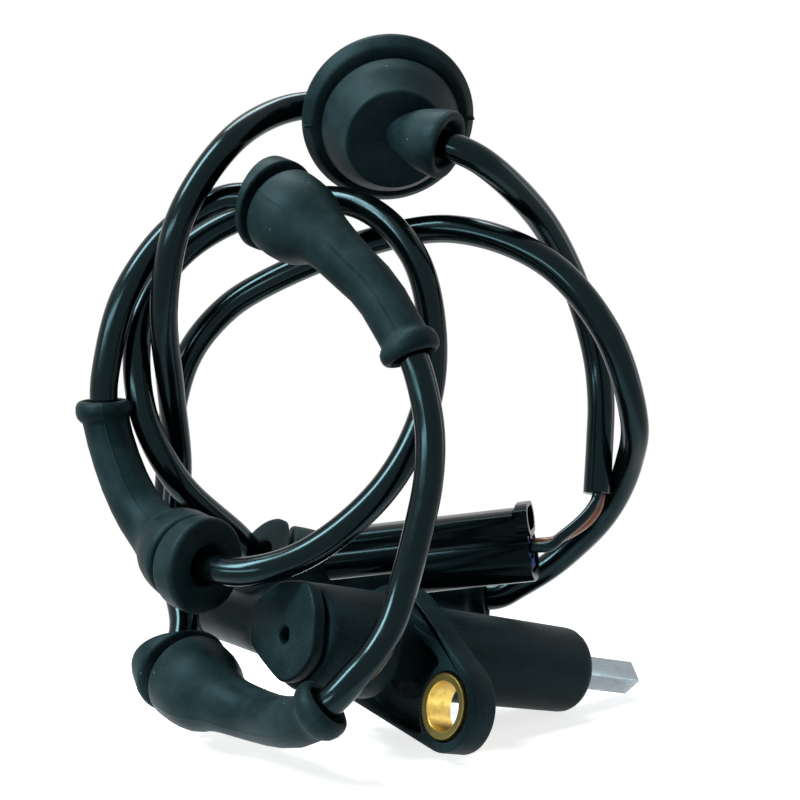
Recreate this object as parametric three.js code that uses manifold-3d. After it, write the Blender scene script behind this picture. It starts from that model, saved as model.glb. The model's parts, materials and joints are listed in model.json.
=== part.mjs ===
// ABS wheel speed sensor with its coiled two-core lead.
// Millimetres, +Z up. The sensor body lies nose down on its ear and its barrel end, and the stiff
// lead stands above it in loose turns. The sensor's axis lies in the XZ plane, tip towards +X.
import * as THREE from "three";
import { mergeVertices } from "three/addons/utils/BufferGeometryUtils.js";
import Module from "manifold-3d";

const wasm = await Module();
wasm.setup();

// Clearances
const FIT = 0.3;
const LEAD_FIT = 0.35;

// Sensor body, measured along its axis from the barrel end (0) back to the head (negative)
const TILT_DEG = 13.7;
const BARREL_END = [23.65, -4.22, 7.2];
const HEAD_X = -64;
const CAP_LENGTH = 2.4;
const CAP_EDGE = 0.6;
const LOCATOR_R = 1.4;
const BODY_R = 9.2;
const BODY_Z = 0.2;
const NECK_R = 5.3;
const PLATE_BACK_X = -34.5;
const PLATE_THICKNESS = 5;
const POCKET_DEPTH = 3.2;
const BARREL_R = 7.8;
const BARREL_ROOT_R = 8.2;
const STUB_X = -57.5;
const STUB_Z = -1;
const STUB_R = 4.65;
const STUB_END = 31;

// Outline of the head's cap, six flats with rounded corners
const CAP_POINTS = [
  [12, 0.9], [11.4, 3.1], [10.4, 4.4], [5.6, 8], [3.7, 8.7], [-2.6, 9.7], [-4.4, 9.2], [-6.6, 6.6],
  [-7.4, 5], [-8.6, -0.8], [-8.1, -2.8], [-6.3, -5.1], [-4.7, -6.4], [-2.1, -7.6], [0.2, -7.4], [8.4, -4.2],
  [10.2, -2.8],
];

// Ear: the bush sits at the tip, seen along the axis
const BUSH_AT = [-14.6, -6.8];
const BUSH_R = 5.65;
const BUSH_BORE_R = 4.15;
const BUSH_TEETH = 48;
const EAR_TIP_R = 7.7;
const EAR_ROOT_AT = [4.5, -0.4];
const EAR_ROOT_R = 11.1;
const EAR_CORNER_AT = [12, -10.1];
const EAR_CORNER_R = 1.1;

// Inside the barrel
const CAVITY_R = 6.5;
const CAVITY_X = [-29, -2.5];
const PIN_SIDE = 4.5;
const PIN_X = [-17.5, 16];
const MAGNET_SIZE = [9.2, 5.6];
const BOBBIN_X = [-17, -4];

// Lead
const LEAD_R = 2.5;
const LEAD_SIDES = 10;
const LEAD_STEPS = 80;
const WIRE_R = 0.95;
const WIRE_SIDES = 8;

// Suspension boot: [distance along the lead from the boot's point on it, radius]
const BOOT_LENGTH = 43;
const BOOT_PROFILE = [
  [-1.4, 7.8], [-0.9, 8.3], [1.9, 8.3], [2.3, 7.9], [2.4, 6.3], [4, 6.3], [4.1, 7.5], [4.6, 7.8], [6.8, 7.8],
  [8.6, 7.6], [10.6, 7.1], [12.6, 6.3], [14.6, 5.4], [17, 4.75], [20, 4.35], [23, 4.2], [26, 4.15],
  [29, 4.1], [32, 4.1], [35, 4.1], [38, 4.1], [39.6, 4.15], [40, 4.9], [41, 5.15], [42.3, 5.1], [43, 4.6],
];
const BOOT_MOUTH_R = 3.7;
const BOOT_MOUTH_DEPTH = 2.6;

// Panel grommet, measured along its own axis from the back of the rim towards the flat disc
const GROMMET_DISC_AT = [-9.4, 4.3, 104.5];
const GROMMET_AXIS = [-0.431, -0.821, -0.375];
const GROMMET_DEPTH = 12;
const GROMMET_RIM_R = 15.5;
const GROMMET_HOLLOW_R = 12;

// Connector, measured from its middle; +X towards the wires, +Z towards the small lobe
const PLUG_AT = [-1.6, 4.8, 32.6];
const PLUG_YAW_DEG = -47.7;
const PLUG_PITCH_DEG = 8.5;
const PLUG_HALF = 18.5;
const PLUG_STEP_X = -4;
const CAVITY_Z = -2.6;
const CAVITY_Y = 2.35;
const SEAL_R = 2.05;

// Points on the lead where a boot's flange face sits
const FLANGE_1 = [-18.6, 34, 26.8];
const FLANGE_2 = [-45.9, 9.8, 32.8];
const FLANGE_3 = [-27.5, 16.8, 93.6];
const FLANGE_4 = [-44.8, 20, 13.4];
const DISC_POINT = [-8, 5.5, 106];
const JACKET_END = [24.1, -11.4, 41.2];

// Hand-placed points along the middle of the lead, from inside the stub to the cut end of the jacket
const LEAD_ROUTE = [
  // out of the stub and up the left side
  [-32.45, 12, 19.85], [-32.45, 26, 19.85], [-32.45, 33.5, 19.9], [-32.4, 40, 22.8], [-32.5, 44.5, 28.5],
  [-32.5, 46, 36], [-32.5, 45, 44.5], [-32, 43.4, 57.5], [-29.9, 40.5, 66.6], [-25.1, 36.1, 74.2],
  // over the top to the right, down the right side and back to the left
  [-19.9, 30.5, 79], [-8, 18, 86], [2, 3, 89], [10.5, -12.5, 83.5], [17.1, -21, 71.6],
  [24.4, -20.6, 55.5], [28.7, -14.8, 47], [29.8, -10.3, 40.4], [28.8, -7.1, 35.5], [26.9, -3.5, 31.1],
  [23.2, 0.7, 26.1], [18.9, 4.5, 22.4],
  // first boot
  [15.8, 7, 20.3], [9.4, 13.6, 20.3], [1.7, 21, 21.8], [-6.9, 27.6, 23.8], FLANGE_1,
  // second turn: up the left side, over the top and down the front
  [-25.9, 33, 32.9], [-38, 32.5, 44], [-43.5, 35, 57.5], [-41.5, 38, 73.5], [-33, 37.5, 85],
  [-21.5, 29, 92.5], [-11.5, 14, 93.5], [-8, 1.5, 85], [-8.5, -5, 72], [-13.5, -9.5, 58.5],
  [-22.5, -10, 46], [-34.5, -5.5, 36], [-42.3, 0.5, 32.8],
  // second boot
  FLANGE_2, [-45.4, 18.7, 34], [-46, 25.3, 36.1], [-46.9, 29.7, 39.3], [-47.8, 32.8, 43.5],
  [-48.7, 35.1, 48.5], [-49.4, 36.6, 53.4],
  // third turn up the left side
  [-49.8, 37.3, 58.7], [-49.5, 36.7, 64.7], [-46.6, 34.4, 77.6], [-38.8, 30.2, 89.4], [-31.2, 23.6, 94.6],
  // third boot
  FLANGE_3, [-26.7, 9.4, 90.7], [-25.6, 2.7, 87.6], [-24.4, -2.9, 83.5], [-22.6, -8.2, 79.1],
  [-21.6, -12.2, 74.1],
  // down the front
  [-20.7, -15.9, 68.7], [-20.1, -18.2, 62.6], [-19.9, -19.6, 56], [-20.9, -20.5, 48.8], [-23, -20.8, 41.3],
  [-26.3, -21.1, 32.2], [-29.2, -21.9, 26.6], [-33.1, -22.4, 22], [-37.3, -22.2, 18.4],
  // fourth boot
  [-40.6, -20.3, 14.6], [-42.6, -16.3, 11.4], [-42.9, -10.9, 9.9], [-42.6, -1.8, 9], [-44.3, 4.9, 9.8],
  [-45.2, 12.2, 11.3], FLANGE_4,
  // last turn: up the left side into the back of the grommet
  [-41.2, 24.8, 19.9], [-39.4, 31, 27.3], [-35.4, 37.6, 36.5], [-34.5, 38, 46], [-37.9, 34.3, 60.1], [-42, 29, 75.5],
  [-41, 24.5, 91], [-32.5, 22, 104], [-20.5, 24, 110], [-12.3, 22.2, 111.2], [-8, 14.6, 109.3],
  // through the grommet and down to the plug
  DISC_POINT, [-7, -1, 104.5], [-5, -6.5, 103], [-1.1, -9.4, 100.6], [13.6, -7.5, 90.8], [24.4, -5.1, 77.9],
  [28, -6.4, 66.1], [27.9, -8, 57.8], [26.3, -9.6, 50.7], JACKET_END,
];

// Hand-placed points along the two wires, from the jacket to their seals
const BLACK_WIRE_ROUTE = [
  [23.1, -12.5, 40.9], [21.2, -13.3, 39.3], [19, -13.7, 37.8], [16.3, -13.8, 36.2], [13.8, -13.6, 34.8],
];
const BROWN_WIRE_ROUTE = [
  [25.1, -11.1, 40.3], [23.9, -11.6, 38.5], [21.9, -11.7, 36.7], [19.4, -11.3, 35.2], [16.9, -10.8, 34.2],
];

const COLOURS = {
  housing: [0x1b1d1f, 0.75, 0],
  rubber: [0x232628, 0.8, 0],
  jacket: [0x111315, 0.3, 0],
  plug: [0x0f1113, 0.25, 0],
  brass: [0xc79a3f, 0.35, 1],
  steel: [0xb9bec4, 0.3, 1],
  copper: [0xb5682f, 0.4, 1],
  magnet: [0x4a4c50, 0.5, 1],
  blue: [0x2b48c8, 0.5, 0],
  brown: [0xa4541c, 0.45, 0],
  nylon: [0x8c8f88, 0.6, 0],
};

const group = new THREE.Group();
group.name = "abs_wheel_speed_sensor";

// Turns a closed three.js geometry into a solid for joining and cutting
function solid(geometry) {
  const plain = geometry.clone();
  plain.deleteAttribute("normal");
  plain.deleteAttribute("uv");
  const merged = mergeVertices(plain, 1e-4);
  return new wasm.Manifold(new wasm.Mesh({
    numProp: 3,
    vertProperties: new Float32Array(merged.attributes.position.array),
    triVerts: new Uint32Array(merged.index.array),
  }));
}

function join(first, ...others) {
  return others.reduce((sum, other) => sum.add(other), first);
}

function cut(first, ...others) {
  return others.reduce((rest, other) => rest.subtract(other), first);
}

function geometryOf(shape) {
  const mesh = shape.getMesh();
  const geometry = new THREE.BufferGeometry();
  geometry.setAttribute("position", new THREE.BufferAttribute(new Float32Array(mesh.vertProperties), 3));
  geometry.setIndex(new THREE.BufferAttribute(new Uint32Array(mesh.triVerts), 1));
  geometry.computeVertexNormals();
  return geometry;
}

function add(name, shape, colour, matrix) {
  const [color, roughness, metalness] = COLOURS[colour];
  const geometry = shape.isBufferGeometry ? shape.clone() : geometryOf(shape);
  if (matrix) geometry.applyMatrix4(matrix);
  const mesh = new THREE.Mesh(geometry, new THREE.MeshStandardMaterial({ color, roughness, metalness }));
  mesh.name = name;
  group.add(mesh);
}

// A lathe about the local X axis; the profile is a list of [x, radius]
function turned(profile, segments) {
  const points = profile.map(([x, r]) => new THREE.Vector2(r, x));
  return new THREE.LatheGeometry(points, segments).rotateZ(-Math.PI / 2);
}

// A round bar along X
function bar(x0, x1, r, segments, y = 0, z = 0) {
  return turned([[x0, 0], [x0, r], [x1, r], [x1, 0]], segments).translate(0, y, z);
}

// A box between two corners
function block(low, high) {
  const size = high.map((v, i) => v - low[i]);
  return new THREE.BoxGeometry(...size).translate(...high.map((v, i) => (v + low[i]) / 2));
}

// A flat outline given as [y, z] points, standing between x0 and x1
function plate(outline, x0, x1, bevel = 0) {
  const shape = new THREE.Shape(outline.map(([y, z]) => new THREE.Vector2(y, z)));
  const geometry = new THREE.ExtrudeGeometry(shape, {
    depth: x1 - x0 - bevel,
    steps: 1,
    bevelEnabled: bevel > 0,
    bevelThickness: bevel,
    bevelSize: bevel,
    bevelOffset: -bevel,
    bevelSegments: 2,
  });
  const turn = new THREE.Matrix4().makeBasis(
    new THREE.Vector3(0, 1, 0), new THREE.Vector3(0, 0, 1), new THREE.Vector3(1, 0, 0));
  return geometry.applyMatrix4(turn).translate(x0, 0, 0);
}

// Points of the outline that wraps a list of circles, each [y, z, radius]
function wrap(circles, count = 40) {
  const points = [];
  for (let i = 0; i < count; i++) {
    const angle = (i / count) * 2 * Math.PI;
    const along = new THREE.Vector2(Math.cos(angle), Math.sin(angle));
    const reach = circles.map(([y, z, r]) => y * along.x + z * along.y + r);
    const [y, z, r] = circles[reach.indexOf(Math.max(...reach))];
    points.push([y + r * along.x, z + r * along.y]);
  }
  return points;
}

// Lead: one smooth curve, and the frames that the tube and everything threaded on it share
const lead = new THREE.CatmullRomCurve3(LEAD_ROUTE.map((p) => new THREE.Vector3(...p)), false, "centripetal");
lead.arcLengthDivisions = (LEAD_ROUTE.length - 1) * 24;
const leadLengths = lead.getLengths();
const leadLength = leadLengths[leadLengths.length - 1];
const leadPoints = lead.getSpacedPoints(LEAD_STEPS);
const leadFrames = lead.computeFrenetFrames(LEAD_STEPS, false);

function arcAt(point) {
  return leadLengths[LEAD_ROUTE.indexOf(point) * 24];
}

function polygon(radius, sides) {
  const points = [];
  for (let i = 0; i < sides; i++) {
    const angle = (i / sides) * 2 * Math.PI;
    points.push(new THREE.Vector2(radius * Math.cos(angle), radius * Math.sin(angle)));
  }
  return new THREE.Shape(points);
}

function leadTube(radius) {
  return new THREE.ExtrudeGeometry(polygon(radius, LEAD_SIDES), { steps: LEAD_STEPS, extrudePath: lead });
}

// Bends a lathe made about Y along the lead; y counts from the arc length start, in the given direction
function threaded(profile, start, direction, segments) {
  const points = profile.map(([along, r]) => new THREE.Vector2(r, along));
  points.unshift(new THREE.Vector2(0, profile[0][0]));
  points.push(new THREE.Vector2(0, profile[profile.length - 1][0]));
  const geometry = new THREE.LatheGeometry(points, segments);
  const position = geometry.attributes.position;
  for (let i = 0; i < position.count; i++) {
    const at = ((start + direction * position.getY(i)) / leadLength) * LEAD_STEPS;
    const step = Math.max(0, Math.min(LEAD_STEPS - 1, Math.floor(at)));
    const part = at - step;
    const middle = leadPoints[step].clone().lerp(leadPoints[step + 1], part);
    const normal = leadFrames.normals[step].clone().lerp(leadFrames.normals[step + 1], part);
    const binormal = leadFrames.binormals[step].clone().lerp(leadFrames.binormals[step + 1], part);
    middle.addScaledVector(normal, position.getX(i));
    middle.addScaledVector(binormal, -direction * position.getZ(i));
    position.setXYZ(i, middle.x, middle.y, middle.z);
  }
  return geometry;
}

const leadBore = solid(leadTube(LEAD_R + LEAD_FIT));

// Sensor frame: +X towards the tip, +Y towards the stub
const sensorFrame = new THREE.Matrix4()
  .makeTranslation(...BARREL_END)
  .multiply(new THREE.Matrix4().makeRotationY((TILT_DEG * Math.PI) / 180));
const plateFrontX = PLATE_BACK_X - PLATE_THICKNESS;
const capBackX = HEAD_X + CAP_LENGTH;

function housing() {
  const cap = solid(plate(CAP_POINTS, HEAD_X + CAP_EDGE, capBackX, CAP_EDGE));
  const round = solid(turned([
    [-45.5, 0], [-45.5, NECK_R], [plateFrontX + POCKET_DEPTH, NECK_R], [plateFrontX + POCKET_DEPTH, BARREL_ROOT_R],
    [PLATE_BACK_X, BARREL_ROOT_R], [-1.6, BARREL_R], [-0.5, BARREL_R - 0.5], [0, BARREL_R - 1.6], [0, 0],
  ], 40));
  const front = solid(turned([
    [capBackX - 1, 0], [capBackX - 1, 8.1], [capBackX + 0.5, 8.1], [capBackX + 1.1, 8.7],
    [capBackX + 2.5, BODY_R], [-46.6, BODY_R], [-45.6, BODY_R - 0.8], [-45.2, BODY_R - 1.8], [-45.2, 0],
  ], 40).translate(0, 0, BODY_Z));
  const ear = solid(plate(wrap([
    [...BUSH_AT, EAR_TIP_R], [...EAR_ROOT_AT, EAR_ROOT_R], [...EAR_CORNER_AT, EAR_CORNER_R],
  ], 60), plateFrontX, PLATE_BACK_X));
  const pocketX = [plateFrontX - 1, plateFrontX + POCKET_DEPTH];
  const upperPocket = solid(plate([
    [-12.6, 2.4], [3.6, 6.2], [6.5, 8.2], [2.6, 9.9], [-0.8, 8.9],
  ].reverse(), ...pocketX));
  const lowerPocket = solid(plate([
    [11.6, -10.3], [13.6, -3], [13.8, 2], [8, 5.7], [-12.2, 1], [-8.8, -2.6], [-7.8, -6.8], [-8.6, -10.6], [-10.6, -13.1],
  ].reverse(), ...pocketX));
  const stub = solid(bar(2, STUB_END, STUB_R, 28).rotateZ(Math.PI / 2).translate(STUB_X, 0, STUB_Z));
  const body = join(cap, cut(ear, upperPocket, lowerPocket), round, front, stub);
  const reliefBore = solid(bar(24.7, STUB_END + 1, 4, 24)
    .rotateZ(Math.PI / 2).translate(STUB_X, 0, STUB_Z));
  const leadChannel = solid(bar(-1, STUB_END, LEAD_R + 0.5, 16)
    .rotateZ(Math.PI / 2).translate(STUB_X, 0, STUB_Z));
  const bushHole = solid(bar(plateFrontX - 1, PLATE_BACK_X + 1, BUSH_R + FIT, 48, ...BUSH_AT));
  const locator = solid(bar(HEAD_X - 1, HEAD_X + 4, LOCATOR_R, 16, 0.3, 0));
  const cavity = solid(bar(...CAVITY_X, CAVITY_R, 28));
  const reach = PIN_SIDE / 2 + FIT;
  const pinHole = solid(block([-4, -reach, -reach], [1, reach, reach]).rotateX(Math.PI / 4));
  const leadWay = solid(block([STUB_X - 1, -2.1, 0], [CAVITY_X[0] + 1, 2.1, 4]));
  return cut(body, reliefBore, leadChannel, bushHole, locator, cavity, pinHole, leadWay);
}

function bush() {
  const outline = [];
  for (let i = 0; i < BUSH_TEETH * 2; i++) {
    const angle = (i / BUSH_TEETH) * Math.PI;
    const r = i % 2 ? BUSH_R - 0.22 : BUSH_R;
    outline.push([BUSH_AT[0] + r * Math.cos(angle), BUSH_AT[1] + r * Math.sin(angle)]);
  }
  const ring = solid(plate(outline, plateFrontX - 0.3, PLATE_BACK_X));
  const bore = solid(bar(plateFrontX - 2, PLATE_BACK_X + 2, BUSH_BORE_R, 32, ...BUSH_AT));
  return cut(ring, bore);
}

function bobbin() {
  const [x0, x1] = BOBBIN_X;
  const spool = solid(turned([
    [x0, 0], [x0, 6.1], [x0 + 1, 6.1], [x0 + 1, 4.1], [x1 - 1, 4.1], [x1 - 1, 6.1], [x1, 6.1], [x1, 0]], 28));
  return cut(spool, solid(bar(x0 - 1, x1 + 1, 3.55, 20)));
}

function winding() {
  const [x0, x1] = BOBBIN_X;
  return cut(solid(bar(x0 + 1.3, x1 - 1.3, 5.9, 28)), solid(bar(x0, x1, 4.4, 28)));
}

add("sensor_housing", housing(), "housing", sensorFrame);
add("mounting_bush", bush(), "brass", sensorFrame);
const half = PIN_SIDE / 2;
const pin = block([PIN_X[0], -half, -half], [PIN_X[1], half, half]).rotateX(Math.PI / 4);
add("pole_pin", pin, "steel", sensorFrame);
const [magnetY, magnetZ] = MAGNET_SIZE.map((size) => size / 2);
const magnet = block([CAVITY_X[0] + 0.4, -magnetY, -magnetZ], [PIN_X[0] - FIT, magnetY, magnetZ]);
add("magnet", magnet, "magnet", sensorFrame);
add("coil_bobbin", bobbin(), "nylon", sensorFrame);
add("coil_winding", winding(), "copper", sensorFrame);
for (const [name, y] of [["coil_terminal_1", -1.4], ["coil_terminal_2", 1.4]]) {
  add(name, block([-54, y - 0.45, 3.1], [BOBBIN_X[0] - FIT, y + 0.45, 3.6]), "brass", sensorFrame);
}

// Ribbed sleeve in the mouth of the stub
const stubEndArc = BARREL_END[1] + STUB_END - LEAD_ROUTE[0][1];
const reliefProfile = [[-6, 3.6], [0.6, 3.6], [0.7, 4.3]];
for (let x = 1.4; x < 6; x += 1.4) {
  reliefProfile.push([x, 4.3], [x + 0.1, 3.8], [x + 0.6, 3.8], [x + 0.7, 4.2]);
}
reliefProfile.push([7.2, 4.1], [7.5, 3.7]);
add("strain_relief", cut(solid(threaded(reliefProfile, stubEndArc, 1, 24)), leadBore), "rubber");

add("cable_jacket", leadTube(LEAD_R), "jacket");

// Boots: flange face, and the direction along the lead in which the tube runs
const BOOTS = [[FLANGE_1, -1], [FLANGE_2, 1], [FLANGE_3, 1], [FLANGE_4, -1]];
BOOTS.forEach(([flange, direction], i) => {
  const start = arcAt(flange);
  const mouth = threaded([[-3, BOOT_MOUTH_R], [BOOT_MOUTH_DEPTH - 1.4, BOOT_MOUTH_R]], start, direction, 16);
  const end = threaded([[BOOT_LENGTH - BOOT_MOUTH_DEPTH, BOOT_MOUTH_R], [BOOT_LENGTH + 1, BOOT_MOUTH_R]],
    start, direction, 16);
  const boot = cut(solid(threaded(BOOT_PROFILE, start, direction, 18)), leadBore, solid(mouth), solid(end));
  add("suspension_boot_" + (i + 1), boot, "rubber");
});

// Panel grommet: cup with a flat disc, and a horn round the lead where it leaves the disc
function grommet() {
  const d = GROMMET_DEPTH;
  const shell = turned([
    [0, GROMMET_HOLLOW_R], [0, GROMMET_RIM_R - 0.6], [0.6, GROMMET_RIM_R], [2.4, GROMMET_RIM_R],
    [3.2, GROMMET_RIM_R - 0.8], [3.4, 12.2], [4.6, 11.8], [7.5, 11.1],
    [d - 1, 9.4], [d - 0.2, 9], [d, 8.6], [d, 0],
    [d - 2, 0], [d - 2, 7.6], [d - 3.4, 8.2], [6, 9.4], [2.5, GROMMET_HOLLOW_R - 1], [0, GROMMET_HOLLOW_R],
  ], 36);
  const facing = new THREE.Quaternion().setFromUnitVectors(
    new THREE.Vector3(1, 0, 0), new THREE.Vector3(...GROMMET_AXIS).normalize());
  shell.translate(-d, 0, 0).applyQuaternion(facing).translate(...GROMMET_DISC_AT);
  const disc = arcAt(DISC_POINT);
  const horn = threaded([
    [-1.6, 3.7], [1, 3.8], [3.6, 4.3], [6, 5], [8.6, 5.8], [10.4, 6.2], [11.4, 6.3], [12, 6],
  ], disc, 1, 24);
  const mouth = threaded([[10.2, 3.9], [13, 4.1]], disc, 1, 16);
  return cut(join(solid(shell), solid(horn)), leadBore, solid(mouth));
}
add("panel_grommet", grommet(), "rubber");

// Connector
const plugFrame = new THREE.Matrix4()
  .makeTranslation(...PLUG_AT)
  .multiply(new THREE.Matrix4().makeRotationZ((PLUG_YAW_DEG * Math.PI) / 180))
  .multiply(new THREE.Matrix4().makeRotationY((-PLUG_PITCH_DEG * Math.PI) / 180));

function plugHousing() {
  const body = solid(plate(wrap([[-0.9, -4.2, 4.6], [0.9, -4.2, 4.6]], 36), PLUG_STEP_X, PLUG_HALF));
  const crest = solid(plate(wrap([
    [-1.3, 2, 2.4], [1.3, 2, 2.4], [-1.3, -2, 2.4], [1.3, -2, 2.4],
  ], 32), -PLUG_HALF, PLUG_HALF));
  const nose = solid(plate(wrap([[-2.2, -1.4, 3], [2.2, -1.4, 3]], 32), -PLUG_HALF, PLUG_STEP_X + 1));
  const lip = solid(plate(wrap([[-1.4, 2.3, 3], [1.4, 2.3, 3]], 32), PLUG_HALF - 1.8, PLUG_HALF + 0.4));
  const shell = join(body, crest, nose, lip);
  const ways = [-CAVITY_Y, CAVITY_Y].flatMap((y) => [
    solid(bar(9, PLUG_HALF + 2, SEAL_R + FIT / 2, 20, y, CAVITY_Z)),
    solid(bar(-PLUG_HALF - 1, 9.5, 1.45, 12, y, CAVITY_Z)),
  ]);
  const lockSlot = solid(block([8, -3.4, -7], [PLUG_HALF + 2, 3.4, -4.6]));
  const lipHollow = solid(plate(wrap([[-1.4, 2.5, 2.1], [1.4, 2.5, 2.1]], 24), PLUG_HALF - 2.4, PLUG_HALF + 2));
  return cut(shell, ...ways, lockSlot, lipHollow);
}

function tube(x0, x1, outer, inner, y, z) {
  return cut(solid(bar(x0, x1, outer, 16, y, z)), solid(bar(x0 - 1, x1 + 1, inner, 12, y, z)));
}

add("connector_housing", plugHousing(), "plug", plugFrame);
[-CAVITY_Y, CAVITY_Y].forEach((y, i) => {
  add("connector_terminal_" + (i + 1), tube(-16.5, 8.6, 1.15, 0.6, y, CAVITY_Z), "brass", plugFrame);
  add("wire_seal_" + (i + 1), tube(14, 18, SEAL_R - 0.15, WIRE_R + FIT, y, CAVITY_Z), "blue", plugFrame);
});
add("terminal_lock", block([8.3, -3.1, -6.7], [PLUG_HALF - 0.4, 3.1, -4.9]), "blue", plugFrame);

// Wires: from the jacket's cut end, straight through the seals, to just short of the terminals
function wire(route, y) {
  const inside = [22, 19, 16, 12.5, 9.2]
    .map((x) => new THREE.Vector3(x, y, CAVITY_Z).applyMatrix4(plugFrame));
  const points = [...route.map((p) => new THREE.Vector3(...p)), ...inside];
  const curve = new THREE.CatmullRomCurve3(points, false, "centripetal");
  return new THREE.ExtrudeGeometry(polygon(WIRE_R, WIRE_SIDES), { steps: 16, extrudePath: curve });
}
add("wire_black", wire(BLACK_WIRE_ROUTE, -CAVITY_Y), "jacket");
add("wire_brown", wire(BROWN_WIRE_ROUTE, CAVITY_Y), "brown");

export default group;
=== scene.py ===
# %% [markdown]
# # A wheel speed sensor and its coiled lead
# The part is a small coil and magnet moulded into black plastic, with an ear for one bolt and a long
# stiff lead. Rubber boots, a panel grommet and a plug sit on the lead. The solids of the part come
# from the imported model, in metres. Each visible piece is then made again with round edges and its own
# finish, in the same place.

# %% The frame, the packages and the units
import json
import math
import bpy
import bmesh
from mathutils import Matrix, Vector
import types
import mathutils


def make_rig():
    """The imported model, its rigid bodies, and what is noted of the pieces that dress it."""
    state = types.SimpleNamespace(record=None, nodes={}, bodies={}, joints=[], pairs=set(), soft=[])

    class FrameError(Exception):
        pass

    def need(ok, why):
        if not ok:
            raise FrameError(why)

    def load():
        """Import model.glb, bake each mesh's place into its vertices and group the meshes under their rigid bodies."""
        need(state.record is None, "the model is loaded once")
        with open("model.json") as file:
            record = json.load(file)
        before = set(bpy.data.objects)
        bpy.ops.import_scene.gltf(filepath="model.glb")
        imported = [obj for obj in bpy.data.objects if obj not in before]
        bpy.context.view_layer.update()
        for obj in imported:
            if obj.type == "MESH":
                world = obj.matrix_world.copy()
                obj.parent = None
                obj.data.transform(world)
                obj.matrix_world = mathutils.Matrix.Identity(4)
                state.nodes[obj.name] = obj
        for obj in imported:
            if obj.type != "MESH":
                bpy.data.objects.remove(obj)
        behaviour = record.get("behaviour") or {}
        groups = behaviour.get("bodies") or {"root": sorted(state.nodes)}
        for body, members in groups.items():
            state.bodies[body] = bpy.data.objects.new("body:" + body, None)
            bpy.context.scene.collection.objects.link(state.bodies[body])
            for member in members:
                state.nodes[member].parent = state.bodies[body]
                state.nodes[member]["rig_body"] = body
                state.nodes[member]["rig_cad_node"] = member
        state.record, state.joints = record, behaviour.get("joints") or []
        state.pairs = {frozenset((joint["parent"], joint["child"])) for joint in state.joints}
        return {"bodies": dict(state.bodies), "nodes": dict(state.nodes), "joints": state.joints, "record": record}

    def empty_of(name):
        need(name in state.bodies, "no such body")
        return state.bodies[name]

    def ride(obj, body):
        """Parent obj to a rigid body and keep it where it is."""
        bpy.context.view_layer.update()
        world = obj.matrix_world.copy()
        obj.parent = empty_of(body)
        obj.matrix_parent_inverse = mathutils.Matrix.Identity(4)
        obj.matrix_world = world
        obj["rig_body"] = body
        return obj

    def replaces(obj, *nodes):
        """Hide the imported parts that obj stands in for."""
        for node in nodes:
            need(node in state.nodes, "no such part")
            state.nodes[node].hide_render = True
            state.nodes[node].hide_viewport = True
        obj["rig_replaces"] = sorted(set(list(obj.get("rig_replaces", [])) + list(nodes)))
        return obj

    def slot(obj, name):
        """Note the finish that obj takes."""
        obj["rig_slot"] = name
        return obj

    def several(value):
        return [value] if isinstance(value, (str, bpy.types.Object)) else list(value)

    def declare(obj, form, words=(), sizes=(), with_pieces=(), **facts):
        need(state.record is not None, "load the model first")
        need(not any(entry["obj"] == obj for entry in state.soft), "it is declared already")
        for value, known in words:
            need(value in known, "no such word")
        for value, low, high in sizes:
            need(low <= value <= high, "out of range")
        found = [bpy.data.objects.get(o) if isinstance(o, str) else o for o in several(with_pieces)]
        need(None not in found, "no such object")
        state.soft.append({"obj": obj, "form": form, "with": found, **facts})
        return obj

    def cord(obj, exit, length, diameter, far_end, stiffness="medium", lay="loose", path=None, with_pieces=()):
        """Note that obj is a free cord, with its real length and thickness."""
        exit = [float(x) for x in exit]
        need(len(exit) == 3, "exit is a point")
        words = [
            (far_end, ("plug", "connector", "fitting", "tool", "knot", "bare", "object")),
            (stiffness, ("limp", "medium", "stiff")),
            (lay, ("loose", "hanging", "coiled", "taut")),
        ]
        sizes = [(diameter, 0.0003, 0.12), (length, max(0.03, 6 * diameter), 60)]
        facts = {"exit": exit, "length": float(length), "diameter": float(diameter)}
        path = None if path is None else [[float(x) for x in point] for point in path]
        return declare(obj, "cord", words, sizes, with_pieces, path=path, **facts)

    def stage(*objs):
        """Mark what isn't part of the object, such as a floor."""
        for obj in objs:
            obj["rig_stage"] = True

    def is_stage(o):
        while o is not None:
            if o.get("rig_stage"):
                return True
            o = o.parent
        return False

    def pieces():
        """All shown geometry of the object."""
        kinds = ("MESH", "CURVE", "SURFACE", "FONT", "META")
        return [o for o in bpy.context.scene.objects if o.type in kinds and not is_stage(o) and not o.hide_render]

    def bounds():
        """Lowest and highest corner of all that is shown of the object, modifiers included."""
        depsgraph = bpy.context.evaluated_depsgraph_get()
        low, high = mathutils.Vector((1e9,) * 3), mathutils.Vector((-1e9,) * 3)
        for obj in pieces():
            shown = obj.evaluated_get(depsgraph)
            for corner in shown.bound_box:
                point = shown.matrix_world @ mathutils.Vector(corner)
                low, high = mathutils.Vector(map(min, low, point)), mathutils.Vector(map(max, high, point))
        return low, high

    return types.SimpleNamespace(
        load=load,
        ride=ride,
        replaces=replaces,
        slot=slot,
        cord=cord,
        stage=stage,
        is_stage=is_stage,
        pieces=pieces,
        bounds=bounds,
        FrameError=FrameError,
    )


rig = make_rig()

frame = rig.load()
cad_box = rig.bounds()
MM = 0.001
print("nodes in the model:", len(frame["nodes"]))
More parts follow.
